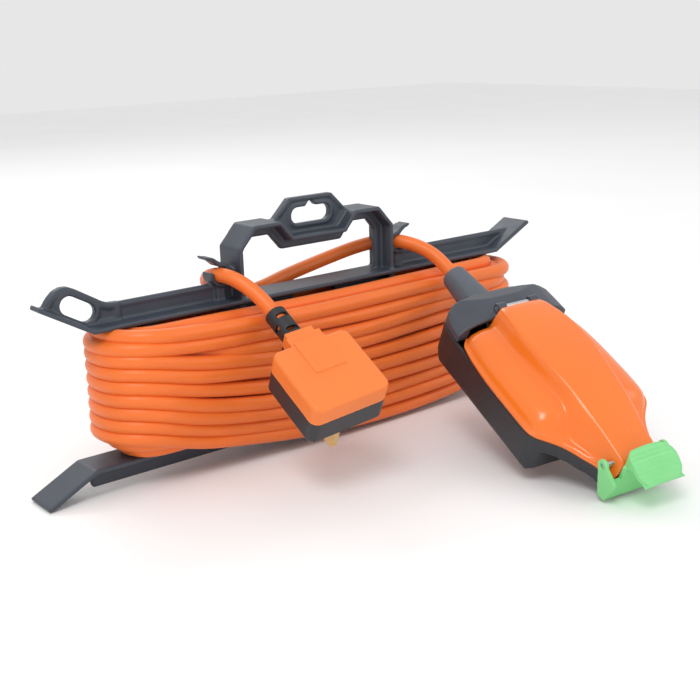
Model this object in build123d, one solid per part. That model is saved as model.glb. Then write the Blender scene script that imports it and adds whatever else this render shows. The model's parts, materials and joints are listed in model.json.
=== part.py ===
from build123d import *
import os
from math import cos, pi, radians, sin, tan

os.makedirs("parts", exist_ok=True)

# Extension cord on an H-shaped carrier. Millimetres, +Z up, +X along the carrier's bars,
# origin on the ground under the middle of the carrier. The plug and the weatherproof socket
# hang in front of the coil (towards -Y), the socket's nose resting on the ground.

# ---- driving dimensions: carrier ----
BAR_WIDTH = 23.2
BAR_T = 2.6
DECK_Z = 92.8            # top face of the upper bar
UPPER_HALF = 150.0       # fold of the upper bar's paddles
PADDLE_LEN = 34.8
PADDLE_ANGLE = 26.6
EYE_PADDLE_LEN = 30.6
EYE_PADDLE_ANGLE = 30.0
EYE_PADDLE_TIP = 5.7     # half width of the left paddle at its tip
LOWER_Z = 16.0           # top face of the lower bar
LOWER_HALF = 157.0       # fold of the feet
FOOT_LEN = 32.5
FOOT_ANGLE = 26.3
WEB_T = 3.0
WEB_TOP = 103.1
LOWER_WEB_Z = 2.6
LEG_X = 57.8             # outside of the handle's legs
HANDLE_TOP = 133.7
HANDLE_WIDTH = 21.5
STRIP_T = 2.6
RIB_DEPTH = 5.5
TAB_TOP = 145.1
SLOT_LEN = 29.0
SLOT_R = 4.8
SLOT_Z = 134.2
CLIP_X = 67.0
CLIP_Z = 108.0
POST_Y = 10.0            # half depth of the slanted plates' flanges between the bars
PEG_Y = 5.0              # half depth of the winding pegs

# ---- driving dimensions: cable and coil ----
CABLE_D = 8.6
COIL_LEFT = -140.5
COIL_RIGHT = 160.5
COIL_HALF = 30.5         # half thickness across the bars
COIL_Y = 2.0             # the coil is this much thicker behind the bars than in front
COIL_HOLE = 12.2         # half thickness of the space inside the coil
COIL_BAND = 19.5         # thickness of the coil at its two ends
COIL_BOTTOM = 17.0
COIL_SAG = 14.5          # how far the front and back strands sag below the lower bar
COIL_TOP = 89.0

# ---- driving dimensions: plug, in its own frame: x width, y towards the cord, z out of the cover ----
PLUG_W = 47.6
PLUG_L = 45.6
PLUG_COVER_Z = -12.0
PLUG_BASE_Z = -26.0
PLUG_WALL = 2.2
PIN_GAP = 22.23          # between the live and neutral pins, and from them to the earth pin
PIN_ROW_Y = 10.5
RELIEF_R = 6.3
RELIEF_END = 55.0
CORD_Z = -11.0
FUSE_PLACE = (11.5, -6.9)
FUSE_R = 3.15
FUSE_LEN = 25.4
FUSE_DOOR = (3.3, 13.0)   # half width and half length of the opening that the fuse comes out of
DOOR_FIT = 0.12
COVER_SCREW_Y = -1.0

# ---- driving dimensions: socket, in its own frame: x width, y towards the cord, z out of the lid ----
SOCKET_HALF = 41.0
LID_LEN = 118.5
TUB_REAR = 140.0
TUB_DEPTH = 28.0
NOSE_HALF = 19.0
NOSE_DEPTH = 8.0
LID_SIDE_H = 15.0
RIDGE_HALF = 17.0
RIDGE_H = 25.0
SHELL_T = 2.2
CAP_END = 150.0
CAP_H = 14.0
CAP_FRONT = LID_LEN + 0.6
PORT_R = 9.2             # hole that the sleeve passes through
SPIGOT_Y = 137.0
SLEEVE_END = 181.0
SLEEVE_ROOT_R = 10.4
SLEEVE_TIP_R = 7.9
SLEEVE_Z = -8.5
HINGE_Y = 121.5
HINGE_Z = 17.0
HINGE_R = 3.2
HINGE_PIN_R = 1.5
LATCH_PIN_Y = 6.0
LATCH_PIN_Z = 7.0
LATCH_PIN_R = 1.5
HOOK_GAP = 0.7
PAD_HALF = 14.5          # half width of the latch's thumb pad
FACEPLATE_Z = (-6.5, -4.0)
PIN_BLOCK_Y = 14.0       # from the live and neutral apertures to their terminal blocks
EARTH_BLOCK_Y = 13.0
SHUTTER_Z = (-9.4, -7.2)
WIDE = 60.0              # half width of a cutting block, wider than the socket
RUN_FIT = 0.06
SEAM = 0.35              # gap between shells that part from each other

# ---- places of the plug and the socket ----
PLUG_FRAME = Plane(origin=(-58.0, -92.0, 70.0), x_dir=(0.975, -0.127, 0.186), z_dir=(-0.161, -0.505, 0.850))
SOCKET_FRAME = Plane(origin=(55.2, -202.7, 12.6), x_dir=(0.981, -0.185, 0.059),
                     z_dir=(-0.137, -0.4455, 0.8847))


def save(shape, node, frame=None):
    """Write one node, moved out of its own frame where it has one."""
    placed = frame.location * shape if frame else shape
    export_step(placed, f"parts/{node}.step")
    return placed


def block(x0, x1, y0, y1, z0, z1):
    """A box between two corners."""
    return Pos((x0 + x1) / 2, (y0 + y1) / 2, (z0 + z1) / 2) * Box(x1 - x0, y1 - y0, z1 - z0)


def plate_xz(points, y0, y1):
    """A flat outline in the XZ plane, run along Y."""
    face = make_face(Polyline(*[(x, z) for x, z in points], close=True))
    solid = extrude(Plane.XZ * face, amount=y1 - y0)
    return Pos(0, y1, 0) * solid


def plate_yz(points, x0, x1):
    """A flat outline in the YZ plane, run along X."""
    face = make_face(Polyline(*points, close=True))
    return Pos(x0, 0, 0) * extrude(Plane.YZ * face, amount=x1 - x0)


def rod_x(x0, x1, y, z, r):
    return Pos((x0 + x1) / 2, y, z) * Rot(0, 90, 0) * Cylinder(r, x1 - x0)


def rod_y(y0, y1, x, z, r):
    return Pos(x, (y0 + y1) / 2, z) * Rot(90, 0, 0) * Cylinder(r, y1 - y0)


def rod_z(z0, z1, x, y, r):
    return Pos(x, y, (z0 + z1) / 2) * Cylinder(r, z1 - z0)


def obround_xz(length, r, y0, y1, x, z, tilt=0.0):
    """A bar with round ends along X, run along Y; tilt raises its left end."""
    face = SlotOverall(length, 2 * r)
    solid = extrude(Plane.XZ * face, amount=y1 - y0)
    return Pos(x, y1, z) * Rot(0, tilt, 0) * solid


# ---------------------------------------------------------------- carrier

def bar_tip(half, top_z, tip_len, angle):
    """The right end of a folded bar: fold, tip, and the same on its underside."""
    a = radians(angle)
    shift = BAR_T * tan(a / 2)
    tip_x = half + tip_len * cos(a)
    tip_z = top_z + tip_len * sin(a)
    low_x = tip_x + BAR_T * sin(a)
    low_z = tip_z - BAR_T * cos(a)
    return [(half, top_z), (tip_x, tip_z), (low_x, low_z), (half + shift, top_z - BAR_T)]


def bent_bar(top_z, right_tip, left_tip):
    """A flat bar whose ends are folded up (angle over 0) or down; a tip is (half, length, angle)."""
    right = bar_tip(right_tip[0], top_z, *right_tip[1:])
    left = [(-x, z) for x, z in reversed(bar_tip(left_tip[0], top_z, *left_tip[1:]))]
    return plate_xz(right + left, -BAR_WIDTH / 2, BAR_WIDTH / 2)


def left_taper():
    """What is cut off both sides of the left paddle, so that it narrows towards its tip."""
    half = BAR_WIDTH / 2
    tip = -UPPER_HALF - 29
    cut = Part()
    for side in (-1, 1):
        face = make_face(Polyline((-UPPER_HALF - 1, side * half), (tip, side * EYE_PADDLE_TIP),
                                  (tip, side * (half + 3)), (-UPPER_HALF - 1, side * (half + 3)),
                                  close=True))
        cut += Pos(0, 0, DECK_Z - 10) * extrude(face, amount=40)
    return cut


def handle_outline(inset):
    """The handle's left half from the deck to the middle, moved inwards by inset."""
    cut = inset * tan(radians(22.5))
    return [
        (-LEG_X + inset, DECK_Z - 0.5),
        (-LEG_X + inset, 121.5 - cut),
        (-46.7 + cut, HANDLE_TOP - inset),
        (-27.4 - cut, HANDLE_TOP - inset),
        (-18.9 - cut, 123.9 - inset),
    ]


def handle_arch(outer, inner, half_width):
    left = handle_outline(outer)
    back = handle_outline(inner)
    right = [(-x, z) for x, z in reversed(left)]
    back_right = [(-x, z) for x, z in back]
    inner_left = list(reversed(back))
    return plate_xz(left + right + back_right + inner_left, -half_width, half_width)


def hang_tab():
    """The hexagonal tab with a rim and a euro slot."""
    outline = [(-15.9, TAB_TOP), (15.9, TAB_TOP), (27.4, HANDLE_TOP), (18.9, 121.5), (-18.9, 121.5),
               (-27.4, HANDLE_TOP)]
    rim = plate_xz(outline, -2.6, 2.6)
    panel = [(x * 0.9, SLOT_Z + (z - SLOT_Z) * 0.8) for x, z in outline]
    recess = plate_xz(panel, -3.0, -1.6) + plate_xz(panel, 1.6, 3.0)
    collar = obround_xz(SLOT_LEN + 4.4, SLOT_R + 2.0, -2.6, 2.6, 0, SLOT_Z)
    slot = obround_xz(SLOT_LEN, SLOT_R, -4, 4, 0, SLOT_Z)
    bump = plate_xz([(-4.6, SLOT_Z + 4), (-2.4, SLOT_Z + 6.6), (0, SLOT_Z + 8), (2.4, SLOT_Z + 6.6),
                     (4.6, SLOT_Z + 4)], -4, 4)
    return (rim - recess) + collar - slot - bump


def cable_clip(side):
    """The open C clip on the outside of a leg, with its curled lip, rib and foot."""
    ring = rod_y(-5, 5, 0, 0, 6.9)
    lip = plate_xz([(-2.0, 6.5), (1.6, 4.9), (5.0, 8.0), (9.2, 9.4), (9.6, 11.2), (4.4, 10.2), (0.6, 7.4)],
                   -5, 5)
    mouth = plate_xz([(0, 0), (9.0, 2.4), (9.0, 9.0), (2.2, 9.0)], -6, 6)
    bore = rod_y(-6, 6, 0, 0, CABLE_D / 2 + 0.3)
    clip = (ring - mouth) + lip - bore
    arm = block(-10, -5.4, -5, 5, -5.4, 2.4) - bore
    clip = Pos(CLIP_X, 0, CLIP_Z) * (clip + arm)
    foot = block(CLIP_X - 3, CLIP_X + 3, -4, 4, DECK_Z - 0.5, CLIP_Z - 5.6)
    whole = clip + foot
    return whole if side > 0 else mirror(whole, about=Plane.YZ)


def eye():
    """The slotted eye above the left paddle: a thin wall with a thick rim, and its slot."""
    outline = [(-174.6, 104.4), (-172.8, 107.6), (-169.8, 111.6), (-166.4, 114.4), (-162.6, 115.8),
               (-158.6, 115.6), (-154.4, 113.6), (-139.6, 104.6), (-136.4, 103.3), (-130, 103.0),
               (-130, 91), (-152, 91)]
    face = make_face(Polyline(*outline, close=True))
    wall = Pos(0, 1.6, 0) * extrude(Plane.XZ * face, amount=3.2)
    rim = Pos(0, 2.6, 0) * extrude(Plane.XZ * face, amount=5.2)
    inner = Pos(0, 5, 0) * extrude(Plane.XZ * offset(face, -3.2), amount=10)
    rim = rim - inner
    centre = (-154.4, 102.9)
    collar = obround_xz(25.6, 7.4, -2.6, 2.6, *centre, EYE_PADDLE_ANGLE)
    slot = obround_xz(21.0, 5.1, -6, 6, *centre, EYE_PADDLE_ANGLE)
    below = plate_xz([(-200, 114), (-150, 85.0), (-120, 85.0), (-120, 60), (-200, 60)], -9, 9)
    reach = plate_xz([(-200, 120.2), (-150, 91.3), (-120, 91.3), (-120, 60), (-200, 60)], -9, 9)
    return (wall + rim + collar) - below - reach, slot


def posts():
    """Two slanted plates and two winding pegs between the bars."""
    top = DECK_Z - BAR_T + 0.5
    low = LOWER_Z - 0.5
    left = plate_xz([(-58, top), (-13.5, top), (-20, 78), (-62, 30), (-66, low), (-104, low), (-98, 30),
                     (-62, 78)], -2.2, 2.2)
    flange = plate_xz([(-58, top), (-54, top), (-58.4, 77), (-95, 29), (-100, low), (-104, low), (-98, 30),
                       (-62, 78)], -POST_Y, POST_Y)
    half = left + flange
    peg = block(-118, -109, -PEG_Y, PEG_Y, low, top)
    peg = peg - block(-115.4, -106, -PEG_Y + 2, PEG_Y - 2, low + 4, top - 4)
    side = half + peg
    return side + mirror(side, about=Plane.YZ)


def cable_frame():
    right_paddle = (UPPER_HALF, PADDLE_LEN, PADDLE_ANGLE)
    left_paddle = (UPPER_HALF, EYE_PADDLE_LEN, EYE_PADDLE_ANGLE)
    upper = bent_bar(DECK_Z, right_paddle, left_paddle) - left_taper()
    foot = (LOWER_HALF, FOOT_LEN, -FOOT_ANGLE)
    lower = bent_bar(LOWER_Z, foot, foot)
    body = upper + lower + posts()
    web_left = block(-134, -LEG_X + 0.5, -WEB_T / 2, WEB_T / 2, DECK_Z - 0.5, WEB_TOP - 1.5)
    web_right = block(LEG_X - 0.5, UPPER_HALF + 18.6, -WEB_T / 2, WEB_T / 2, DECK_Z - 0.5, WEB_TOP - 1.5)
    bead_left = rod_x(-134, -LEG_X + 0.5, 0, WEB_TOP - 2, 2.0)
    bead_right = rod_x(LEG_X - 0.5, UPPER_HALF + 20.4, 0, WEB_TOP - 2, 2.0)
    lower_edge = [(-LOWER_HALF - 2, LOWER_Z - 1), (-LOWER_HALF + 2, LOWER_WEB_Z),
                  (LOWER_HALF - 2, LOWER_WEB_Z), (LOWER_HALF + 2, LOWER_Z - 1)]
    lower_web = plate_xz(lower_edge, -WEB_T / 2, WEB_T / 2)
    body = body + web_left + web_right + bead_left + bead_right + lower_web
    arch = handle_arch(0, STRIP_T, HANDLE_WIDTH / 2)
    rib = handle_arch(STRIP_T - 0.3, STRIP_T + RIB_DEPTH, 2.0)
    body = body + arch + rib + hang_tab()
    ring, slot = eye()
    body = body + ring - slot
    body = body + cable_clip(1) + cable_clip(-1)
    ground = block(-300, 300, -50, 50, -60, 0)
    return body - ground


# ---------------------------------------------------------------- cable

def stadium(x0, x1, half, z0, z1, y=0.0):
    """A flat loop with round ends, run up along Z."""
    middle = (x0 + x1) / 2
    face = SlotOverall(x1 - x0, 2 * half)
    return Pos(middle, y, z0) * extrude(face, amount=z1 - z0)


def cable_coil():
    """The outer shape of the wound cable: a flattened ring that sags between the feet."""
    outer = stadium(COIL_LEFT, COIL_RIGHT, COIL_HALF, 0, COIL_TOP, COIL_Y)
    top_edges = outer.faces().sort_by(Axis.Z)[-1].edges()
    outer = chamfer(top_edges, 6)
    hole = stadium(COIL_LEFT + COIL_BAND, COIL_RIGHT - COIL_BAND, COIL_HOLE, -5, COIL_TOP + 5)
    left = COIL_LEFT + 32
    right = COIL_RIGHT - 32
    lowest = ((left + right) / 2, COIL_BOTTOM - COIL_SAG)
    edge = [Line((COIL_LEFT - 5, COIL_BOTTOM), (left, COIL_BOTTOM)),
            ThreePointArc((left, COIL_BOTTOM), lowest, (right, COIL_BOTTOM)),
            Line((right, COIL_BOTTOM), (COIL_RIGHT + 5, COIL_BOTTOM)),
            Line((COIL_RIGHT + 5, COIL_BOTTOM), (COIL_RIGHT + 5, -10)),
            Line((COIL_RIGHT + 5, -10), (COIL_LEFT - 5, -10)),
            Line((COIL_LEFT - 5, -10), (COIL_LEFT - 5, COIL_BOTTOM))]
    under = Pos(0, 50, 0) * extrude(Plane.XZ * make_face(edge), amount=100)
    return outer - hole - under


def corner_radii(points):
    """Each corner's largest smooth arc: 0.45 of its shorter run over the tangent of half its turn."""
    radii = []
    for before, here, after in zip(points, points[1:], points[2:]):
        run_in = Vector(*here) - Vector(*before)
        run_out = Vector(*after) - Vector(*here)
        turn = radians(run_in.get_angle(run_out))
        radii.append(0.45 * min(run_in.length, run_out.length) / tan(turn / 2))
    return radii


def cable_tube(points, name):
    radii = corner_radii(points)
    path = FilletPolyline(*points, radius=radii)
    start = Plane(origin=path @ 0, z_dir=path % 0)
    tube = sweep(start * Circle(CABLE_D / 2), path=path)
    section = pi * CABLE_D ** 2 / 4
    print(name, "length", round(path.length, 1), "radii", [round(r, 1) for r in radii],
          "volume ratio", round(tube.volume / (section * path.length), 4))
    return tube


def frame_point(frame, x, y, z):
    return tuple(frame.location.position + frame.x_dir * x + frame.y_dir * y + frame.z_dir * z)


def plug_route():
    """From the top of the coil behind the bar, up through the left clip, down to the plug."""
    relief = frame_point(PLUG_FRAME, 0, RELIEF_END, CORD_Z)
    return [(-2.0, 29.5, 85.0), (-20.0, 31.0, 85.2), (-37.0, 32.5, 87.6), (-53.0, 28.5, 93.2),
            (-64.0, 17.8, 101.0), (-68.2, 3.0, 107.2), (-65.6, -12.0, 108.0), (-58.5, -25.5, 99.8), relief]


def socket_route():
    """From the top of the coil, up behind the bar and the right leg, through the clip to the sleeve."""
    sleeve = frame_point(SOCKET_FRAME, 0, SLEEVE_END, SLEEVE_Z)
    lead = frame_point(SOCKET_FRAME, -1.0, SLEEVE_END + 14.5, SLEEVE_Z + 1.9)
    return [(-24.0, 20.0, 89.0), (-6.0, 21.5, 93.2), (14.0, 23.0, 96.4), (34.0, 22.5, 100.2),
            (50.0, 17.5, 104.6), (61.5, 8.0, 108.0), (69.0, -5.0, 108.6), (76.5, -17.5, 104.6), lead, sleeve]


# ---------------------------------------------------------------- plug

def rounded_block(w, l, z0, z1, r):
    return Pos(0, 0, z0) * extrude(RectangleRounded(w, l, r), amount=z1 - z0)


def cover_post():
    """The cover's post that takes the long screw from the pin face."""
    post = rod_z(PLUG_COVER_Z, -1.5, 0, COVER_SCREW_Y, 3.2)
    return post - rod_z(PLUG_COVER_Z - 1, -2.8, 0, COVER_SCREW_Y, 1.45)


def plug_cover():
    shell = rounded_block(PLUG_W, PLUG_L, PLUG_COVER_Z, 0, 5)
    shell = fillet(shell.faces().sort_by(Axis.Z)[-1].edges(), 2.5)
    neck = block(-10.5, 10.5, PLUG_L / 2 - 4, PLUG_L / 2 + 6, PLUG_COVER_Z, -1.2)
    collar = block(-8.6, 8.6, PLUG_L / 2 + 5, PLUG_L / 2 + 10.5, PLUG_COVER_Z, -2.4)
    tongue = block(-9.5, 9.5, 0, PLUG_L / 2, -2, 0.9)
    inside = rounded_block(PLUG_W - 2 * PLUG_WALL, PLUG_L - 2 * PLUG_WALL, PLUG_COVER_Z - 1, -PLUG_WALL, 3.5)
    throat = rod_y(PLUG_L / 2 - 6, PLUG_L / 2 + 12, 0, CORD_Z, RELIEF_R - 1.7)
    return shell + neck + collar + tongue - inside - throat + cover_post()


def plug_base():
    body = rounded_block(PLUG_W, PLUG_L, PLUG_BASE_Z, PLUG_COVER_Z, 5)
    body = fillet(body.faces().sort_by(Axis.Z)[0].edges(), 1.5)
    neck = block(-8.6, 8.6, PLUG_L / 2 - 4, PLUG_L / 2 + 10.5, PLUG_COVER_Z - 6.5, PLUG_COVER_Z)
    body = body + neck
    inner_w = PLUG_W - 2 * PLUG_WALL
    inner_l = PLUG_L - 2 * PLUG_WALL
    inside = rounded_block(inner_w, inner_l, PLUG_BASE_Z + 3.2, PLUG_COVER_Z + 1, 3.5)
    throat = rod_y(PLUG_L / 2 - 6, PLUG_L / 2 + 12, 0, CORD_Z, RELIEF_R - 1.7)
    body = body - inside - throat
    for x, y, w, h in pin_places():
        body = body - block(x - w / 2, x + w / 2, y - h / 2, y + h / 2, PLUG_BASE_Z - 1, PLUG_BASE_Z + 4)
    fuse_x, fuse_y = FUSE_PLACE
    door_x, door_y = FUSE_DOOR
    body = body - block(fuse_x - door_x, fuse_x + door_x, fuse_y - door_y, fuse_y + door_y, PLUG_BASE_Z - 1,
                        PLUG_BASE_Z + 4)
    body = body + rod_z(PLUG_BASE_Z + 3.0, PLUG_COVER_Z, 0, COVER_SCREW_Y, 3.2)
    return body - rod_z(PLUG_BASE_Z - 1, PLUG_BASE_Z + 1.6, 0, COVER_SCREW_Y, 2.9) \
        - rod_z(PLUG_BASE_Z - 2, PLUG_COVER_Z + 1, 0, COVER_SCREW_Y, 1.6)


def pin_places():
    """x, y, width and height of the live, neutral and earth pins' sections."""
    return [(PIN_GAP / 2, PIN_ROW_Y, 6.35, 3.97), (-PIN_GAP / 2, PIN_ROW_Y, 6.35, 3.97),
            (0, PIN_ROW_Y - PIN_GAP, 3.97, 7.93)]


def plug_pin(index):
    x, y, w, h = pin_places()[index]
    length = 22.73 if index == 2 else 17.7
    pin = block(x - w / 2, x + w / 2, y - h / 2, y + h / 2, PLUG_BASE_Z - length, PLUG_BASE_Z + 4)
    pin = chamfer(pin.faces().sort_by(Axis.Z)[0].edges(), 1.0)
    head = block(x - 3.6, x + 3.6, y - 3.6, y + 3.6, PLUG_BASE_Z + 4, PLUG_BASE_Z + 9)
    bore = rod_y(y - 5, y + 5, x, PLUG_BASE_Z + 6.6, 1.5)
    screw_hole = rod_z(PLUG_BASE_Z + 6, PLUG_BASE_Z + 10, x, y, 1.25)
    return pin + head - bore - screw_hole


def terminal_screws(places, z0, z1, head_r):
    screws = Part()
    for x, y in places:
        screws += rod_z(z0, z1, x, y, 1.2)
        driver_slot = block(x - 2.5, x + 2.5, y - 0.3, y + 0.3, z1 + 0.9, z1 + 2)
        screws += rod_z(z1, z1 + 1.6, x, y, head_r) - driver_slot
    return screws


def strain_relief():
    """A cage of rings joined by staggered bars, round the cord where it leaves the plug."""
    start = PLUG_L / 2 + 10.5
    tube = rod_y(start, RELIEF_END, 0, CORD_Z, RELIEF_R)
    tube = tube - rod_y(start - 1, RELIEF_END + 1, 0, CORD_Z, CABLE_D / 2)
    step = (RELIEF_END - start) / 4
    for ring in range(3):
        middle = start + step * (ring + 0.9)
        for turn in (0, 180):
            window = block(-3.4, 3.4, middle - 1.4, middle + 1.4, CABLE_D / 2 - 0.5, RELIEF_R + 2)
            tube = tube - Pos(0, 0, CORD_Z) * Rot(0, turn + 90 * (ring % 2), 0) * window
    spigot = rod_y(PLUG_L / 2 - 4.6, start, 0, CORD_Z, RELIEF_R - 1.8)
    flange = rod_y(PLUG_L / 2 - 6.4, PLUG_L / 2 - 4.6, 0, CORD_Z, RELIEF_R)
    return tube + (spigot + flange - rod_y(0, start + 1, 0, CORD_Z, CABLE_D / 2))


def plug_parts():
    fuse_x, fuse_y = FUSE_PLACE
    save(plug_cover(), "plug_cover", PLUG_FRAME)
    save(plug_base(), "plug_base", PLUG_FRAME)
    save(strain_relief(), "plug_strain_relief", PLUG_FRAME)
    for index, name in enumerate(("live_pin", "neutral_pin", "earth_pin")):
        save(plug_pin(index), name, PLUG_FRAME)
    sleeves = Part()
    for x, y, w, h in pin_places()[:2]:
        outer = block(x - w / 2 - 0.5, x + w / 2 + 0.5, y - h / 2 - 0.5, y + h / 2 + 0.5, PLUG_BASE_Z - 9.2,
                      PLUG_BASE_Z)
        pin = block(x - w / 2, x + w / 2, y - h / 2, y + h / 2, PLUG_BASE_Z - 10, PLUG_BASE_Z + 1)
        sleeves += outer - pin
    save(sleeves, "pin_sleeves", PLUG_FRAME)
    door_x, door_y = FUSE_DOOR[0] - DOOR_FIT, FUSE_DOOR[1] - DOOR_FIT
    carrier = block(fuse_x - door_x, fuse_x + door_x, fuse_y - door_y, fuse_y + door_y, PLUG_BASE_Z,
                    PLUG_BASE_Z + 2.6)
    cradle = block(fuse_x - 1.2, fuse_x + 1.2, fuse_y - 3.0, fuse_y + 3.0, PLUG_BASE_Z + 2.6,
                   PLUG_BASE_Z + 4.0)
    notch = block(fuse_x - 1.6, fuse_x + 1.6, fuse_y + 10.6, fuse_y + 14, PLUG_BASE_Z - 1, PLUG_BASE_Z + 0.8)
    save(carrier + cradle - notch, "fuse_carrier", PLUG_FRAME)
    fuse_z = PLUG_BASE_Z + 4.0 + FUSE_R
    half = FUSE_LEN / 2
    save(rod_y(fuse_y - half, fuse_y + half, fuse_x, fuse_z, FUSE_R), "fuse", PLUG_FRAME)
    clips = Part()
    for y in (fuse_y - 10.6, fuse_y + 7.4):
        plate = block(fuse_x - 4.6, fuse_x + 4.6, y, y + 3.2, fuse_z - 1.0, PLUG_COVER_Z + 7.4)
        slot = block(fuse_x - 3.5, fuse_x + 3.5, y - 1, y + 4.2, fuse_z - 2, fuse_z + 3.5)
        clips += plate - slot
    save(clips, "fuse_clips", PLUG_FRAME)
    grip = block(-7, 7, 11.8, 15.6, CORD_Z - 8.3, CORD_Z - CABLE_D / 2)
    save(grip, "plug_cord_grip", PLUG_FRAME)
    shank = rod_z(PLUG_BASE_Z + 1.6, -3, 0, COVER_SCREW_Y, 1.45)
    head = rod_z(PLUG_BASE_Z, PLUG_BASE_Z + 1.6, 0, COVER_SCREW_Y, 2.7)
    driver_slot = block(-2.8, 2.8, COVER_SCREW_Y - 0.4, COVER_SCREW_Y + 0.4, PLUG_BASE_Z - 1,
                        PLUG_BASE_Z + 0.9)
    save(shank + head - driver_slot, "plug_cover_screw", PLUG_FRAME)
    places = [(x, y) for x, y, w, h in pin_places()]
    screws = terminal_screws(places, PLUG_BASE_Z + 6.8, PLUG_BASE_Z + 9.4, 1.9)
    save(screws, "plug_terminal_screws", PLUG_FRAME)


# ---------------------------------------------------------------- socket

OUTLINE = [(0, 17.2), (1.5, 18.4), (6, 19.0), (10, 19.2), (14, 20.8), (18, 23.0), (24, 25.8), (30, 29.6),
           (35, 34.2), (39, 38.2), (43, 40.4), (48, 41.0), (66, 41.2), (84, 41.0), (100, 39.8)]
# y from the rear end, and how far the outline is inside the greatest half width there
OUTLINE_REAR = [(-18.5, 1.6), (-8.5, 2.8), (-3.5, 4.4), (0, 8.0)]


def socket_outline(inset, rear):
    """The plan of the lid and tub: broad rear, round shoulders, then an S curve into the nose."""
    wide = OUTLINE + [(rear + y, SOCKET_HALF - x) for y, x in OUTLINE_REAR if rear + y > 101]
    left = [(half - inset, max(inset, min(y, rear - inset))) for y, half in wide]
    right = [(-x, y) for x, y in reversed(left)]
    return make_face(Polyline(*left, *right, close=True))


def outline_block(inset, z0, z1, rear=LID_LEN, front=-5.0):
    solid = Pos(0, 0, z0) * extrude(socket_outline(inset, rear), amount=z1 - z0)
    return solid & block(-WIDE, WIDE, front, rear + 5, z0, z1)


def side_wedge(inset):
    """The upper envelope of the side lobes: level at the back, dropping to the nose."""
    top = LID_SIDE_H - inset
    rear = LID_LEN + 9
    return plate_yz([(inset, -40), (inset, 8), (1.2 + inset, 10.8 - inset), (3.8 + inset, 12.5 - inset),
                     (34, 12.5 - inset), (46, top), (100, top), (rear, top - 3), (rear, -40)], -WIDE, WIDE)


def ridge(inset):
    """The flat-crowned central ridge, high at the back and running out along the nose."""
    top = RIDGE_H - inset
    half = RIDGE_HALF - inset
    rear = LID_LEN - inset
    profile = [(inset, 0), (inset, 8), (1.2 + inset, 10.8 - inset), (3.8 + inset, 12.5 - inset),
               (20, 16 - inset), (48, 22.5 - inset), (75, top), (rear, top - 2.5), (rear, 0)]
    return plate_yz(profile, -half, half)


def lid_shell():
    above_seam = block(-WIDE, WIDE, -5, 130, SEAM, 60)
    outer = (outline_block(0, SEAM, LID_SIDE_H) & side_wedge(0)) + (ridge(0) & above_seam)
    inner = (outline_block(SHELL_T, -1, LID_SIDE_H) & side_wedge(SHELL_T)) + ridge(SHELL_T)
    shell = outer - inner
    knuckle = rod_x(-8, 8, HINGE_Y, HINGE_Z, HINGE_R)
    web = block(-8, 8, LID_LEN - SHELL_T, HINGE_Y, HINGE_Z, HINGE_Z + HINGE_R - 0.6)
    shell = shell + knuckle + web
    for x0, x1 in ((-14.6, -8), (8, 14.6)):
        shell = shell - rod_x(x0, x1, HINGE_Y, HINGE_Z, HINGE_R + 0.6)
    shell = shell - rod_x(-30, 30, HINGE_Y, HINGE_Z, HINGE_PIN_R + RUN_FIT)
    pin_hole = rod_x(-40, 40, LATCH_PIN_Y, LATCH_PIN_Z, LATCH_PIN_R)
    boss = rod_x(-NOSE_HALF + 1.6, NOSE_HALF - 1.6, LATCH_PIN_Y, LATCH_PIN_Z, 3.2)
    boss = boss & block(-WIDE, WIDE, 0.2, 60, SEAM, 20)
    return shell + boss - pin_hole


def tub_envelope(inset):
    """The tub's section across and along it: straight sides with slanted lower edges."""
    half = SOCKET_HALF - inset
    low = -TUB_DEPTH + inset
    across = plate_xz([(-half - 1, 2), (-half - 1, low + 9), (-half + 6, low), (half - 6, low),
                       (half + 1, low + 9), (half + 1, 2)], -20, 160)
    along = plate_yz([(36 + inset, 2), (36 + inset, low + 7), (44 + inset, low), (126 - inset, low),
                      (141 - inset, low + 12), (141 - inset, 2)], -WIDE, WIDE)
    return across & along


def gasket():
    """Two rubber strips let into the tub's rim."""
    ring = outline_block(0.6, -0.9, 0.0, rear=TUB_REAR, front=30.0)
    ring = ring - outline_block(SHELL_T - 0.5, -2, 1, rear=TUB_REAR, front=30.0)
    return ring & block(-WIDE, WIDE, 44, 112, -2, 1)


def tub():
    body = outline_block(0, -TUB_DEPTH - 1, 0, rear=TUB_REAR, front=30.0) & tub_envelope(0)
    nose = outline_block(0, -NOSE_DEPTH, 0, rear=TUB_REAR, front=-5.0) & block(-WIDE, WIDE, -1, 60, -60, 10)
    inside = outline_block(SHELL_T, -TUB_DEPTH - 1, 1, rear=TUB_REAR, front=30.0) & tub_envelope(2.4)
    nose_in = outline_block(SHELL_T + 0.6, -NOSE_DEPTH + SHELL_T, 1, rear=TUB_REAR, front=-5.0)
    nose_in = nose_in & block(-WIDE, WIDE, 2.4, 50, -60, 10)
    port = rod_y(130, 145, 0, SLEEVE_Z, PORT_R)
    return body + nose - inside - nose_in - port - gasket()


def cap_plan(inset):
    """The cap's plan: the tub's round rear, and a short neck behind it for the sleeve."""
    over_tub = [(39.0, CAP_FRONT), (38.6, 126), (37.6, 132), (35.8, 136.5), (31.6, 139.6)]
    neck = [(22.0, 141.6), (16.5, 144), (14.5, CAP_END)]
    points = [(x - inset, y - (inset if y > CAP_FRONT else 0)) for x, y in over_tub + neck]
    face = make_face(Polyline(*points, *[(-x, y) for x, y in reversed(points)], close=True))
    return Pos(0, 0, -30) * extrude(face, amount=80)


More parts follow.
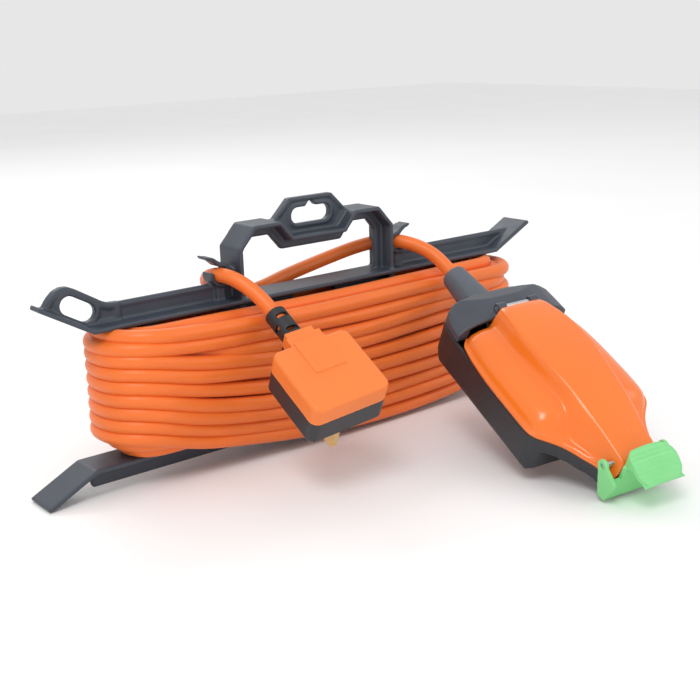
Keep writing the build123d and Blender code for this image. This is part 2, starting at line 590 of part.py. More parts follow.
def cap_dome(inset):
    """The cap's section across: a low arch that falls to the tub's rim at both sides."""
    high = CAP_H - inset
    half = 40.0 - inset
    arch = [(half * cos(radians(a)), high * sin(radians(a)) ** 0.8) for a in range(15, 166, 15)]
    return plate_xz([(half, 0.8), *arch, (-half, 0.8), (-half, -25), (half, -25)], LID_LEN - 1, CAP_END + 1)


def rear_cap():
    """The slate shoulder over the tub's rear, with the hinge knuckles on its front edge."""
    side = plate_yz([(CAP_FRONT, 0.2), (CAP_FRONT, CAP_H), (134, CAP_H - 0.3), (142, 10.5), (147, 6.5),
                     (CAP_END, 3), (CAP_END, -17.6), (140.2, -17.6), (140.2, 0.2)], -40, 40)
    outer = side & cap_plan(0) & cap_dome(0)
    hollow = plate_yz([(CAP_FRONT - 1, -1), (CAP_FRONT - 1, CAP_H - 2.4), (133, CAP_H - 2.8), (TUB_REAR, 6),
                       (TUB_REAR, -1)], -31, 31)
    cap = outer - (hollow & cap_plan(3.5) & cap_dome(2.4))
    for side_sign in (-1, 1):
        x0, x1 = sorted((side_sign * 8.4, side_sign * 14.2))
        cap = cap + rod_x(x0, x1, HINGE_Y, HINGE_Z, HINGE_R)
        cap = cap + block(x0, x1, HINGE_Y - 1.0, HINGE_Y + 3, CAP_H - 3, HINGE_Z)
    cap = cap - rod_x(-8.4, 8.4, HINGE_Y, HINGE_Z, HINGE_R + 0.7)
    return cap - rod_x(-20, 20, HINGE_Y, HINGE_Z, HINGE_PIN_R) - rod_y(130, 160, 0, SLEEVE_Z, PORT_R)


def cable_sleeve():
    middle = (CAP_END + SLEEVE_END) / 2
    cone = Cone(SLEEVE_ROOT_R, SLEEVE_TIP_R, SLEEVE_END - CAP_END)
    sleeve = Pos(0, middle, SLEEVE_Z) * Rot(-90, 0, 0) * cone
    spigot = rod_y(SPIGOT_Y, CAP_END + 0.01, 0, SLEEVE_Z, PORT_R)
    bead = rod_y(SPIGOT_Y - 2.6, SPIGOT_Y, 0, SLEEVE_Z, PORT_R - 0.8)
    return sleeve + spigot + bead - rod_y(120, 190, 0, SLEEVE_Z, CABLE_D / 2)


APERTURES = [(11.1, 66.0, 7.2, 4.8), (-11.1, 66.0, 7.2, 4.8), (0.0, 88.2, 4.8, 8.8)]


def faceplate():
    plate = outline_block(SHELL_T + 0.5, *FACEPLATE_Z, rear=122.0, front=45.0)
    skirt = plate & block(-WIDE, WIDE, 45.5, 119.0, -10, 10)
    for x, y, w, h in APERTURES:
        skirt = skirt - block(x - w / 2, x + w / 2, y - h / 2, y + h / 2, -10, 0)
    for x, y in screw_places():
        skirt = skirt - rod_z(-10, 0, x, y, 1.6)
    return skirt


def screw_places():
    return [(-27, 58), (27, 58), (-26, 110), (26, 110)]


def contact(index):
    """A brass tuning-fork contact under an aperture, with its terminal block."""
    x, y, w, h = APERTURES[index]
    block_y = y + (PIN_BLOCK_Y if index < 2 else EARTH_BLOCK_Y)
    arm_a = block(x - w / 2, x - w / 2 + 0.9, y - h / 2, y + h / 2, -23, -12.5)
    arm_b = block(x + w / 2 - 0.9, x + w / 2, y - h / 2, y + h / 2, -23, -12.5)
    strap = block(x - w / 2, x + w / 2, y - h / 2, block_y + 1, -24, -23)
    head = block(x - 4, x + 4, block_y - 4, block_y + 4, -24, -16)
    head = head - rod_y(block_y - 6, block_y + 6, x, -20.5, 1.8)
    return arm_a + arm_b + strap + head - rod_z(-18.5, -15, x, block_y, 1.25)


def shutter_spring(x, y0, y1, z):
    turns = 5
    pitch = (y1 - y0 - 0.8) / turns
    helix = Helix(pitch=pitch, height=y1 - y0 - 0.8, radius=1.7)
    wire = sweep(Plane(origin=helix @ 0, z_dir=helix % 0) * Circle(0.28), path=helix)
    return Pos(x, y0 + 0.4, z) * Rot(-90, 0, 0) * wire


def socket_parts():
    save(tub(), "socket_base", SOCKET_FRAME)
    save(rear_cap(), "socket_rear_cap", SOCKET_FRAME)
    save(cable_sleeve(), "cable_sleeve", SOCKET_FRAME)
    save(lid_shell(), "socket_lid", SOCKET_FRAME)
    save(rod_x(-14.2, 14.2, HINGE_Y, HINGE_Z, HINGE_PIN_R), "lid_hinge_pin", SOCKET_FRAME)
    save(faceplate(), "socket_faceplate", SOCKET_FRAME)
    for index, name in enumerate(("live_contact", "neutral_contact", "earth_contact")):
        save(contact(index), name, SOCKET_FRAME)
    heads = [(x, y + PIN_BLOCK_Y) for x, y, w, h in APERTURES[:2]]
    heads += [(x, y + EARTH_BLOCK_Y) for x, y, w, h in APERTURES[2:]]
    save(terminal_screws(heads, -18.3, -15.8, 2.0), "socket_terminal_screws", SOCKET_FRAME)
    bosses = Part()
    screws = Part()
    for x, y in screw_places():
        bosses += rod_z(-TUB_DEPTH + 2.4, -6.5, x, y, 3.4) - rod_z(-20, 0, x, y, 1.3)
        screws += rod_z(-18, -4.0, x, y, 1.3) + rod_z(-4.0, -2.4, x, y, 2.6) \
            - block(x - 3, x + 3, y - 0.35, y + 0.35, -3.2, -2)
    save(bosses, "faceplate_bosses", SOCKET_FRAME)
    save(screws, "faceplate_screws", SOCKET_FRAME)
    shutter = block(-18, 18, 60.0, 69.6, *SHUTTER_Z) + block(-2.4, 2.4, 69.6, 89.6, *SHUTTER_Z)
    save(shutter, "shutter", SOCKET_FRAME)
    wall = block(-6, 6, 103.2, 105.0, -12.5, -6.5) + block(-6, 6, 97.4, 103.2, -12.5, -11.2)
    save(wall, "shutter_stop", SOCKET_FRAME)
    save(shutter_spring(0, 89.7, 103.1, -8.6), "shutter_spring", SOCKET_FRAME)
    clamp_y = 127.5
    clamp_z = SLEEVE_Z + CABLE_D / 2
    save(block(-10, 10, clamp_y - 3, clamp_y + 3, clamp_z, clamp_z + 3), "socket_cord_clamp", SOCKET_FRAME)
    save(gasket(), "lid_gasket", SOCKET_FRAME)
    save(nose_seal(), "nose_seal", SOCKET_FRAME)
    save(latch(), "latch", SOCKET_FRAME)
    save(rod_x(-20.4, 20.4, LATCH_PIN_Y, LATCH_PIN_Z, LATCH_PIN_R), "latch_pin", SOCKET_FRAME)


def nose_seal():
    """A soft block in the tub's nose that closes round a visiting cord."""
    seal = outline_block(SHELL_T + 1.2, -NOSE_DEPTH + SHELL_T, -0.6, rear=TUB_REAR, front=2.4)
    return seal & block(-WIDE, WIDE, 2.4, 14, -60, 10)


def latch():
    """An over-centre lever on the lid's nose: two ears, a hook under the tub's lip and a thumb pad."""
    py, pz = LATCH_PIN_Y, LATCH_PIN_Z
    inner = NOSE_HALF + 0.5
    outer = NOSE_HALF + 2.5
    low = -NOSE_DEPTH - HOOK_GAP - 1.4
    ears = Part()
    for side in (-1, 1):
        x0, x1 = sorted((side * inner, side * outer))
        ear = rod_x(x0, x1, py, pz, 3.6)
        arm_side = [(py - 3.4, pz + 1), (py + 2.4, pz - 2.4), (2.0, low), (-3.2, low), (-6.6, 4)]
        arm = plate_yz(arm_side, x0, x1)
        ears += ear + arm
    lip = -NOSE_DEPTH - HOOK_GAP
    hook_side = [(-3.2, low), (1.4, low), (1.4, lip), (-0.8, lip), (-0.8, 3.0), (-3.2, 3.0)]
    hook = plate_yz(hook_side, -outer, outer)
    pad_side = [(-3.2, 2.0), (-0.8, 2.0), (-0.8, 12.0), (2.6, 18.4), (2.0, 20.2), (-6.5, 19.2),
                (-17.5, 14.0), (-17.8, 11.4), (-7.0, 15.4), (-3.2, 12.2)]
    pad = plate_yz(pad_side, -PAD_HALF, PAD_HALF)
    body = ears + hook + pad
    return body - rod_x(-30, 30, py, pz, LATCH_PIN_R + RUN_FIT)


# ---------------------------------------------------------------- write every node

save(cable_frame(), "cable_frame")
save(cable_coil(), "cable_coil")
save(cable_tube(plug_route(), "plug_tail"), "plug_tail")
save(cable_tube(socket_route(), "socket_tail"), "socket_tail")
plug_parts()
socket_parts()
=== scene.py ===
import json
from math import cos, exp, pi, radians, sin, sqrt

import bpy
from mathutils import Matrix, Vector


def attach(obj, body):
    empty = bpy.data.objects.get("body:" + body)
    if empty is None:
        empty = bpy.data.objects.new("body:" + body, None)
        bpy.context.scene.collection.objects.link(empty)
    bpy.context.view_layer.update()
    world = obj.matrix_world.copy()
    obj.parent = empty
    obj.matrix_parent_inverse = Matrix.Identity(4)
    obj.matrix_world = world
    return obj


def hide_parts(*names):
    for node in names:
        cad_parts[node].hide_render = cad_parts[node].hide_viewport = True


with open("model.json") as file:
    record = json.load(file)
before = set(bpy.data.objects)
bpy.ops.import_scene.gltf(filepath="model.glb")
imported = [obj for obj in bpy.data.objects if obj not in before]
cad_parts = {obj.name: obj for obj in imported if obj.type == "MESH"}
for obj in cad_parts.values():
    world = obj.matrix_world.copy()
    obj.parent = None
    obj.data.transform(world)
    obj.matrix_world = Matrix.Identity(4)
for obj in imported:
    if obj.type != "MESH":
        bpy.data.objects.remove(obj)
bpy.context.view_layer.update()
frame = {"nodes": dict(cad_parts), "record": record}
nodes = frame["nodes"]
MM = 0.001


# ---------------------------------------------------------------- frames of the plug and the socket

class Place:
    """A local frame in millimetres: x width, y towards the cord, z out of the cover or lid."""

    def __init__(self, origin, x_dir, z_dir):
        self.o = Vector(origin)
        self.z = Vector(z_dir).normalized()
        x = Vector(x_dir)
        self.x = (x - self.z * x.dot(self.z)).normalized()
        self.y = self.z.cross(self.x)

    def at(self, x, y, z):
        return self.o + self.x * x + self.y * y + self.z * z


PLUG = Place((-58.0, -92.0, 70.0), (0.975, -0.127, 0.186), (-0.161, -0.505, 0.850))
SOCKET = Place((55.2, -202.7, 12.6), (0.981, -0.185, 0.059), (-0.137, -0.4455, 0.8847))


# ---------------------------------------------------------------- materials

def new_material(name, base, rough):
    mat = bpy.data.materials.new(name)
    mat.use_nodes = True
    tree = mat.node_tree
    shader = tree.nodes["Principled BSDF"]
    shader.inputs["Base Color"].default_value = (*base, 1)
    shader.inputs["Roughness"].default_value = rough
    coords = tree.nodes.new("ShaderNodeTexCoord")
    return mat, tree, shader, coords


def noise(tree, coords, scale, detail=3.0, stretch=(1, 1, 1)):
    mapping = tree.nodes.new("ShaderNodeMapping")
    mapping.inputs["Scale"].default_value = stretch
    tree.links.new(coords.outputs["Object"], mapping.inputs["Vector"])
    tex = tree.nodes.new("ShaderNodeTexNoise")
    tex.inputs["Scale"].default_value = scale
    tex.inputs["Detail"].default_value = detail
    tree.links.new(mapping.outputs["Vector"], tex.inputs["Vector"])
    return tex.outputs["Fac"]


def vary(tree, shader, fac, base, spread):
    """Base colour between a little darker and a little lighter than base."""
    node = tree.nodes.new("ShaderNodeValToRGB")
    dark, light = node.color_ramp.elements
    dark.position = 0.3
    dark.color = (*(c * (1 - spread) for c in base), 1)
    light.position = 0.7
    light.color = (*(min(1.0, c * (1 + spread)) for c in base), 1)
    tree.links.new(fac, node.inputs["Fac"])
    tree.links.new(node.outputs["Color"], shader.inputs["Base Color"])


def roughen(tree, shader, fac, low, high):
    node = tree.nodes.new("ShaderNodeMapRange")
    node.inputs["To Min"].default_value = low
    node.inputs["To Max"].default_value = high
    tree.links.new(fac, node.inputs["Value"])
    tree.links.new(node.outputs["Result"], shader.inputs["Roughness"])


def bump(tree, shader, heights, distance=0.0001):
    """Bumps from several height fields, each with its own strength."""
    last = None
    for fac, strength in heights:
        node = tree.nodes.new("ShaderNodeBump")
        node.inputs["Strength"].default_value = strength
        node.inputs["Distance"].default_value = distance
        tree.links.new(fac, node.inputs["Height"])
        if last:
            tree.links.new(last, node.inputs["Normal"])
        last = node.outputs["Normal"]
    tree.links.new(last, shader.inputs["Normal"])


def plastic(name, base, rough, spread=0.05, grain=900, grain_strength=0.25, wave=40, coat=0.0):
    """Moulded plastic: slow shade changes, a fine spark texture and slight sink marks."""
    mat, tree, shader, coords = new_material(name, base, rough)
    slow = noise(tree, coords, wave, 2)
    fine = noise(tree, coords, grain, 4)
    vary(tree, shader, slow, base, spread)
    roughen(tree, shader, noise(tree, coords, wave * 3, 3), rough * 0.85, rough * 1.15)
    bump(tree, shader, [(slow, 0.25), (fine, grain_strength)])
    shader.inputs["Coat Weight"].default_value = coat
    shader.inputs["Coat Roughness"].default_value = 0.12
    return mat


def metal(name, base, rough):
    mat, tree, shader, coords = new_material(name, base, rough)
    shader.inputs["Metallic"].default_value = 1.0
    brushed = noise(tree, coords, 300, 4, (1, 1, 12))
    vary(tree, shader, brushed, base, 0.12)
    roughen(tree, shader, brushed, rough * 0.7, rough * 1.4)
    bump(tree, shader, [(brushed, 0.15)])
    return mat


def sheath():
    """The cable's orange jacket: semi-matt, faint long ripples and scuffed dust."""
    base = (0.84, 0.165, 0.017)
    mat, tree, shader, coords = new_material("cable_sheath", base, 0.42)
    slow = noise(tree, coords, 22, 3)
    scuff = noise(tree, coords, 260, 5)
    fine = noise(tree, coords, 1500, 3)
    vary(tree, shader, slow, base, 0.07)
    roughen(tree, shader, scuff, 0.34, 0.52)
    bump(tree, shader, [(slow, 0.2), (scuff, 0.12), (fine, 0.12)])
    shader.inputs["Sheen Weight"].default_value = 0.08
    return mat


MATERIALS = {
    "frame_plastic": plastic("frame_plastic", (0.040, 0.050, 0.068), 0.42, 0.10, 1100, 0.35),
    "cable_sheath": sheath(),
    "orange_plastic": plastic("orange_plastic", (0.87, 0.180, 0.014), 0.26, 0.03, 1400, 0.05, 20, 0.3),
    "cover_plastic": plastic("cover_plastic", (0.86, 0.205, 0.035), 0.45, 0.03, 1300, 0.3, 30),
    "dark_plastic": plastic("dark_plastic", (0.022, 0.023, 0.028), 0.4, 0.10, 1200, 0.3),
    # slate_plastic is painted light: the shoulder is the same dark plastic as the tub, given a lighter slate
    # tone for light falling on its top
    "slate_plastic": plastic("slate_plastic", (0.055, 0.062, 0.08), 0.4, 0.08, 1200, 0.3),
    "slate_rubber": plastic("slate_rubber", (0.095, 0.108, 0.132), 0.5, 0.06, 1000, 0.4),
    "black_rubber": plastic("black_rubber", (0.016, 0.017, 0.02), 0.45, 0.08, 1000, 0.4),
    "mint_plastic": plastic("mint_plastic", (0.22, 0.66, 0.25), 0.38, 0.05, 1200, 0.25),
    "white_plastic": plastic("white_plastic", (0.75, 0.75, 0.72), 0.4, 0.04, 1200, 0.2),
    "brass": metal("brass", (0.80, 0.58, 0.25), 0.3),
    "steel": metal("steel", (0.60, 0.61, 0.63), 0.35),
    "ceramic": plastic("ceramic", (0.80, 0.78, 0.72), 0.3, 0.04, 900, 0.2),
}
SLOT_OF = {row["node"]: row["material_slot"] for row in frame["record"]["subparts"]}


def dress(obj, key):
    obj.data.materials.clear()
    obj.data.materials.append(MATERIALS[key])


for node_name, node_obj in nodes.items():
    dress(node_obj, SLOT_OF[node_name])


# ---------------------------------------------------------------- the cord, in millimetres

CABLE_D = 8.6
LEFT_X = -149.0 + CABLE_D / 2
RIGHT_X = 160.5 - CABLE_D / 2
INNER_TURNS = 13
OUTER_TURNS = 10
OUTER_FRONT_Y = -26.8
OUTER_BACK_Y = 28.0
INNER_Y = (14.8, 20.8)       # half widths of the even and the odd inner turns
INNER_INSET = (13.0, 6.5)    # how far their ends are inside the outer turns' ends
INNER_TOP = 85.4
INNER_PITCH = 5.45
TUCKED_TURN = 2              # one outer turn that lies deeper at its ends than its neighbours
TUCK = 7.0


def winding_end(x_edge, side, front, back, z_here, z_next, inset=0.0):
    """Four points round one end of the carrier; side -1 is the left end."""
    radius = (back - front) / 2
    middle = (back + front) / 2
    centre = x_edge - side * (radius + inset)
    reach = radius / cos(pi / 8)
    angles = (112.5, 157.5, 202.5, 247.5) if side < 0 else (-67.5, -22.5, 22.5, 67.5)
    points = []
    for index, angle in enumerate(angles):
        a = radians(angle)
        z = z_here + (z_next - z_here) * index / 3
        points.append((centre + reach * cos(a), middle + reach * sin(a), z))
    return points


def bell(x, centre, width):
    return exp(-((x - centre) / width) ** 2)


def outer_left(m):
    if m == 0:
        return 86.6
    return 80.6 if m == 1 else 74.5 - 7.3 * (m - 3) if m > 2 else 74.0


def outer_right(m):
    return 81.5 - 6.2 * m


def outer_front(m, x):
    """Height of the m-th strand from the top in the visible front layer."""
    middle = 81.7 - 8.4 * m
    z = middle
    if x < 5:
        z += (outer_left(m) - middle) * min(1.0, ((5 - x) / 150) ** 1.35)
    if x > 10:
        z += (outer_right(m) - middle) * ((x - 10) / 150) ** 3.4
    if 4 < m < 9:
        z -= 2.6 * sin(pi * (m - 4) / 5) * bell(x, -60, 45)
    if 0 < m < 5:
        z += 3.6 * sin(pi * m / 5) * bell(x, 85, 34)
    return z + 0.5 * sin(2.3 * m + x / 31)


def outer_back(m, x):
    middle = 80 - 7.6 * m
    ends = (outer_left(m) + outer_right(m)) / 2
    return middle + (ends - middle) * (x / 160) ** 2 + 1.3 * sin(1.7 * m + x / 37)


FRONT_X = (-100, -76, -46, -12, 24, 60, 92, 116)
BACK_X = (112, 70, 26, -18, -60, -96)


def back_share(x):
    """How far along the back, from right to left, x is."""
    return (BACK_X[0] - x) / (BACK_X[0] - BACK_X[-1])


def outer_turn(m, z_before):
    """Left end, front, right end and back of one turn of the visible layer, and its last height."""
    left = outer_left(m)
    right = outer_right(m)
    front_y = OUTER_FRONT_Y + max(0, m - 6)
    tuck = TUCK if m == TUCKED_TURN else 0.0
    inset = 4.0 if m == 0 else tuck
    points = winding_end(LEFT_X, -1, front_y + tuck, OUTER_BACK_Y - tuck, z_before, left, inset)
    for x in FRONT_X:
        deep = tuck * (x < -90)
        points.append((x, front_y + deep + 0.7 * sin(m * 1.9 + x / 45), outer_front(m, x)))
    points += winding_end(RIGHT_X, 1, front_y, OUTER_BACK_Y, right, right - 0.6, 4.5 * (m % 2))
    next_left = outer_left(m - 1) if m else right
    for x in BACK_X:
        share = back_share(x)
        z = outer_back(m, x) * (1 - share) + outer_back(max(m - 1, 0), x) * share
        points.append((x, OUTER_BACK_Y + 0.8 * sin(m * 2.7 + x / 40), z))
    return points, next_left


def inner_turn(k):
    """One turn between the bars; even turns lie against the posts, odd ones over them."""
    z = INNER_TOP - INNER_PITCH * k
    z_next = max(z - INNER_PITCH, 20.0)
    y = INNER_Y[k % 2]
    y_next = INNER_Y[1 - k % 2]
    inset = INNER_INSET[k % 2]
    points = winding_end(LEFT_X, -1, -y, y, z, z, inset)
    for x in FRONT_X:
        points.append((x, -y, z - 1.2 * bell(x, 0, 70)))
    points += winding_end(RIGHT_X, 1, -y, y, z, z, inset)
    for x in BACK_X:
        share = back_share(x)
        points.append((x, y + (y_next - y) * share ** 2, z + (z_next - z) * share))
    return points


def cord_points():
    """From the socket's sleeve, through the right clip, round the carrier, to the plug."""
    points = [SOCKET.at(0, 181, -8.5), SOCKET.at(-1.0, 195.5, -6.6),
              (76.5, -17.5, 104.6), (69, -5, 108.6), (61.5, 8, 108), (50, 17.5, 104.6), (34, 22.5, 100.2),
              (14, 23, 96.4), (-6, 21.5, 93.2), (-24, 20, 89), (-60, 17, 86.2), (-94, 15, 85.6)]
    for k in range(INNER_TURNS):
        points += inner_turn(k)
    z = outer_left(OUTER_TURNS - 1)
    for m in range(OUTER_TURNS - 1, -1, -1):
        turn, z = outer_turn(m, z)
        points += turn
    del points[-3:]
    points += [(-2, 29.5, 85.0), (-20, 31, 85.2), (-37, 32.5, 87.6), (-53, 28.5, 93.2), (-64, 17.8, 101),
               (-68.2, 3, 107.2), (-65.6, -12, 108), (-58.5, -25.5, 99.8), PLUG.at(0, 55, -11),
               PLUG.at(0, 40, -11)]
    return points


def build_cord():
    points = [Vector(p) * MM for p in cord_points()]
    data = bpy.data.curves.new("cable", "CURVE")
    data.dimensions = "3D"
    data.resolution_u = 6
    data.bevel_depth = CABLE_D * MM / 2
    data.bevel_resolution = 5
    data.use_fill_caps = True
    spline = data.splines.new("NURBS")
    spline.points.add(len(points) - 1)
    for knot, p in zip(spline.points, points):
        knot.co = (*p, 1)
    spline.order_u = 3
    spline.use_endpoint_u = True
    obj = bpy.data.objects.new("cable", data)
    bpy.context.scene.collection.objects.link(obj)
    obj.data.materials.append(MATERIALS["cable_sheath"])
    length = spline.calc_length()
    print("cord length", round(length, 3), "points", len(points))
    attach(obj, "carrier")
    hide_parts("cable_coil", "plug_tail", "socket_tail")
    return obj, points[0]


cable, cord_exit = build_cord()


# ---------------------------------------------------------------- helpers for detailed pieces

def finish_piece(obj, key, body, replaced):
    """Link, dress, smooth-shade and attach a piece that stands for one CAD node, and hide that node."""
    bpy.context.scene.collection.objects.link(obj)
    dress(obj, key)
    for face in obj.data.polygons:
        face.use_smooth = True
    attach(obj, body)
    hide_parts(replaced)
    return obj


def apply_modifiers(obj):
    """The object's mesh with its modifiers applied."""
    graph = bpy.context.evaluated_depsgraph_get()
    mesh = bpy.data.meshes.new_from_object(obj.evaluated_get(graph))
    obj.modifiers.clear()
    obj.data = mesh


def soften(node, name, key, body, voxel, rounds):
    """A copy of a CAD shell with moulded fillets: remeshed finely, then smoothed."""
    obj = bpy.data.objects.new(name, nodes[node].data.copy())
    bpy.context.scene.collection.objects.link(obj)
    weld = obj.modifiers.new("weld", "WELD")
    weld.merge_threshold = 0.00001
    mesher = obj.modifiers.new("remesh", "REMESH")
    mesher.mode = "VOXEL"
    mesher.voxel_size = voxel * MM
    smoother = obj.modifiers.new("smooth", "SMOOTH")
    smoother.factor = 0.5
    smoother.iterations = rounds
    apply_modifiers(obj)
    bpy.context.scene.collection.objects.unlink(obj)
    return finish_piece(obj, key, body, node)


def grid_mesh(name, rows, place):
    """Faces between rows of points given in a place's local millimetres."""
    mesh = bpy.data.meshes.new(name)
    verts = [place.at(*p) * MM for row in rows for p in row]
    across = len(rows[0])
    faces = []
    for r in range(len(rows) - 1):
        for c in range(across - 1):
            here = r * across + c
            faces.append((here, here + 1, here + across + 1, here + across))
    mesh.from_pydata(verts, [], faces)
    return bpy.data.objects.new(name, mesh)


def smooth_table(table, y):
    """A smooth value between the rows (y, value) of a table."""
    if y <= table[0][0]:
        return table[0][1]
    for (y0, v0), (y1, v1) in zip(table, table[1:]):
        if y <= y1:
            t = (y - y0) / (y1 - y0)
            before = table[max(0, table.index((y0, v0)) - 1)]
            after = table[min(len(table) - 1, table.index((y1, v1)) + 1)]
            m0 = (v1 - before[1]) / (y1 - before[0]) * (y1 - y0)
            m1 = (after[1] - v0) / (after[0] - y0) * (y1 - y0)
            return ((2 * t ** 3 - 3 * t * t + 1) * v0 + (t ** 3 - 2 * t * t + t) * m0
                    + (3 * t * t - 2 * t ** 3) * v1 + (t ** 3 - t * t) * m1)
    return table[-1][1]


def soft_max(a, b, k):
    return 0.5 * (a + b + sqrt((a - b) ** 2 + k * k))


def step(a, b, x):
    t = min(1.0, max(0.0, (x - a) / (b - a)))
    return t * t * (3 - 2 * t)


# ---------------------------------------------------------------- the socket's lid

# Tables of (y, value), in millimetres from the nose
LID_WIDTH = [(0, 17.2), (1.5, 18.4), (6, 19.0), (10, 19.2), (14, 20.8), (18, 23.0), (24, 25.8), (30, 29.6),
             (35, 34.2), (39, 38.2), (43, 40.4), (48, 41.0), (66, 41.2), (84, 41.0), (100, 39.8),
             (110, 38.2), (115, 36.6), (118.5, 33.0)]
LOBE_TOP = [(0, 2.6), (26, 3.2), (33, 5.2), (38, 9.6), (43, 13.2), (50, 14.6), (70, 14.8), (96, 14.0),
            (110, 12.2), (116, 10.0), (118.5, 7.0)]
RIDGE_TOP = [(0, 9.6), (1.5, 11.4), (6, 12.9), (12, 14.4), (22, 17.0), (34, 20.2), (48, 22.8),
             (64, 24.4), (80, 25.0), (100, 24.4), (114, 22.8), (118.5, 21.0)]
RIDGE_WIDTH = [(0, 12.5), (10, 13.0), (20, 13.4), (34, 14.6), (48, 16.0), (64, 18.0), (80, 19.2), (96, 18.6),
               (110, 16.0), (118.5, 14.4)]
FLANK = [(0, 5.0), (20, 8.0), (32, 12.5), (40, 13.0), (50, 10.0), (70, 8.0), (118.5, 7.5)]
LID_REAR = 118.5
RIM_Z = 1.9
SEAM_Z = 0.35
FLANGE = 1.9
LID_THICK = 0.002
LID_ACROSS = 96


def lid_height(x, y, half):
    """Two side lobes with blunt fronts, and a flat crowned ridge that runs out along the nose."""
    a = abs(x)
    inner = max(0.0, half - FLANGE)
    share = min(1.0, a / inner)
    lobe = RIM_Z + (smooth_table(LOBE_TOP, y) - RIM_Z) * (1 - share ** 5) ** 0.55
    edge = smooth_table(RIDGE_WIDTH, y)
    flank = smooth_table(FLANK, y)
    top = smooth_table(RIDGE_TOP, y) - 0.9 * (a / edge) ** 2
    fall = step(edge - 1.2, edge + flank, a)
    ridge = top * (1 - fall) + (RIM_Z - 1.0) * fall
    z = soft_max(lobe, ridge, 1.6) - 0.4 * step(inner, inner - 3, a)
    return z if a < inner else RIM_Z


def lid():
    """The lid's shell: a height field over its plan, with upright sides down to the seam."""
    rows = []
    ys = [0, 0.5, 1.2, 2.2] + [3.4 + 1.5 * i for i in range(75)] + [116.6, 117.4, 118.0, 118.35, 118.5]
    for y in ys:
        half = smooth_table(LID_WIDTH, y)
        row = [(-half, y, SEAM_Z), (-half, y, RIM_Z - 0.5)]
        for c in range(LID_ACROSS + 1):
            s = -1 + 2 * c / LID_ACROSS
            x = half * sin(s * pi / 2) * 0.35 + half * s * 0.65
            row.append((x, y, lid_height(x, y, half)))
        row += [(half, y, RIM_Z - 0.5), (half, y, SEAM_Z)]
        rows.append(row)
    front = [(x, 0.0, SEAM_Z) for x, y, z in rows[0]]
    rear = [(x, LID_REAR, SEAM_Z) for x, y, z in rows[-1]]
    obj = grid_mesh("lid", [front] + rows + [rear], SOCKET)
    bpy.context.scene.collection.objects.link(obj)
    weld = obj.modifiers.new("weld", "WELD")
    weld.merge_threshold = 0.00002
    smoother = obj.modifiers.new("smooth", "SMOOTH")
    smoother.factor = 0.4
    smoother.iterations = 2
    shell = obj.modifiers.new("shell", "SOLIDIFY")
    shell.thickness = LID_THICK
    shell.offset = -1
    apply_modifiers(obj)
    bpy.context.scene.collection.objects.unlink(obj)
    return finish_piece(obj, "orange_plastic", "lid", "socket_lid")


lid()

# ---------------------------------------------------------------- softened shells

SOFT_SHELLS = [
    ("cable_frame", "carrier_body", "frame_plastic", "carrier", 0.7, 5),
    ("socket_base", "socket_tub", "dark_plastic", "carrier", 0.5, 14),
    # the rear cap's slate tone is a painted highlight from light above, over the tub's own dark plastic
    ("socket_rear_cap", "rear_cap", "slate_plastic", "carrier", 0.45, 12),
    ("cable_sleeve", "sleeve", "slate_rubber", "carrier", 0.4, 4),
    ("plug_cover", "cover", "cover_plastic", "carrier", 0.3, 3),
    ("plug_base", "base", "dark_plastic", "carrier", 0.3, 4),
    ("plug_strain_relief", "strain_relief", "black_rubber", "carrier", 0.3, 3),
    ("latch", "latch_lever_piece", "mint_plastic", "latch", 0.3, 4),
]
soft = {}
for node, name, key, body, voxel, rounds in SOFT_SHELLS:
    soft[node] = soften(node, name, key, body, voxel, rounds)

PAD_HALF = 14.5
PAD_REAR_Y = 2.6
PAD_FRONT_Y = -17.8
PAD_FOOT_Z = 11.0
RIB_PITCH = 2.55
RIB_HEIGHT = 0.55


def shape_pad(obj):
    """The latch's thumb pad gets a rounded outline and ribs across it."""
    middle = (PAD_REAR_Y + PAD_FRONT_Y) / 2
    reach = (PAD_REAR_Y - PAD_FRONT_Y) / 2
    facing = [vert.normal.dot(SOCKET.z) for vert in obj.data.vertices]
    for vert, up in zip(obj.data.vertices, facing):
        p = vert.co / MM - SOCKET.o
        x, y, z = p.dot(SOCKET.x), p.dot(SOCKET.y), p.dot(SOCKET.z)
        if z < PAD_FOOT_Z or abs(x) > PAD_HALF + 0.5:
            continue
        share = step(PAD_FOOT_Z, PAD_FOOT_Z + 2.5, z)
        along = min(1.0, abs(y - middle) / reach)
        narrow = 1 - 0.34 * along ** 3.2 * share
        above = step(0.35, 0.9, up)
        inside = step(PAD_HALF, PAD_HALF - 1.6, abs(x))
        rib = RIB_HEIGHT * (0.5 + 0.5 * cos(2 * pi * y / RIB_PITCH)) * above * share * inside
        bow = -1.3 * (x / PAD_HALF) ** 2 * share
        vert.co = SOCKET.at(x * narrow, y, z - RIB_HEIGHT * above * share + rib + bow) * MM


shape_pad(soft["latch"])



# ---------------------------------------------------------------- floor, lights and camera

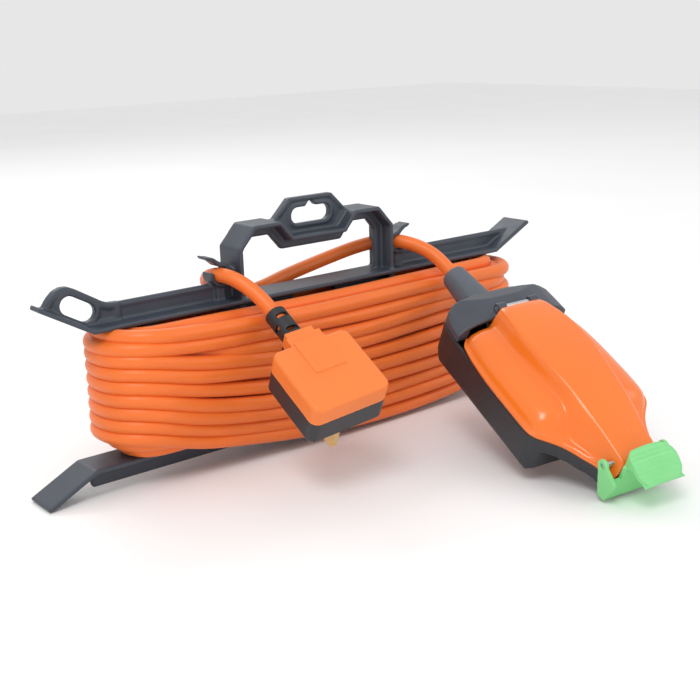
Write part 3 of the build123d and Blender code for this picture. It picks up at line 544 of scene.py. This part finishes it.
def area_light(name, place, target, size, power):
    data = bpy.data.lights.new(name, "AREA")
    data.shape = "RECTANGLE"
    data.size, data.size_y = size
    data.energy = power
    obj = bpy.data.objects.new(name, data)
    obj.location = place
    obj.rotation_euler = (Vector(target) - Vector(place)).to_track_quat("-Z", "Y").to_euler()
    bpy.context.scene.collection.objects.link(obj)


def floor():
    mesh = bpy.data.meshes.new("floor")
    mesh.from_pydata([(-3, -3, 0), (3, -3, 0), (3, 3, 0), (-3, 3, 0)], [], [(0, 1, 2, 3)])
    obj = bpy.data.objects.new("floor", mesh)
    obj.location.z = -0.0006
    bpy.context.scene.collection.objects.link(obj)
    mesh.materials.append(plastic("floor_paint", (0.93, 0.93, 0.93), 0.7, 0.01, 300, 0.05, 6))


def camera():
    """Placed by the azimuth, height angle, roll and distance found for the object."""
    azimuth, rise, roll = radians(-38.81), radians(16.08), radians(-1.66)
    target = Vector((28.5, 0, 43.21)) * MM
    back = Vector((sin(azimuth) * cos(rise), -cos(azimuth) * cos(rise), sin(rise)))
    right = Vector((cos(azimuth), sin(azimuth), 0))
    up = back.cross(right)
    right_rolled = cos(roll) * right + sin(roll) * up
    up_rolled = -sin(roll) * right + cos(roll) * up
    place = target + back * 714.75 * MM
    matrix = Matrix((right_rolled, up_rolled, back)).transposed().to_4x4()
    matrix.translation = place
    data = bpy.data.cameras.new("camera")
    data.lens = 57.84
    data.sensor_width = 36
    obj = bpy.data.objects.new("camera", data)
    obj.matrix_world = matrix
    bpy.context.scene.collection.objects.link(obj)
    bpy.context.scene.camera = obj


WORLD_STRENGTH = 0.8
world = bpy.data.worlds.new("studio")
world.use_nodes = True
world.node_tree.nodes["Background"].inputs["Color"].default_value = (1, 1, 1, 1)
bpy.context.scene.world = world
bpy.context.scene.view_settings.view_transform = "Standard"
world.node_tree.nodes["Background"].inputs["Strength"].default_value = WORLD_STRENGTH
area_light("key", (-0.9, -0.7, 1.5), (0.03, -0.05, 0.05), (0.7, 0.7), 11)
area_light("fill", (0.9, -1.4, 0.8), (0.05, -0.05, 0.05), (1.2, 0.8), 4)
area_light("rim", (0.3, 1.3, 1.2), (0.0, 0.0, 0.08), (1.2, 0.5), 6)
floor()
camera()
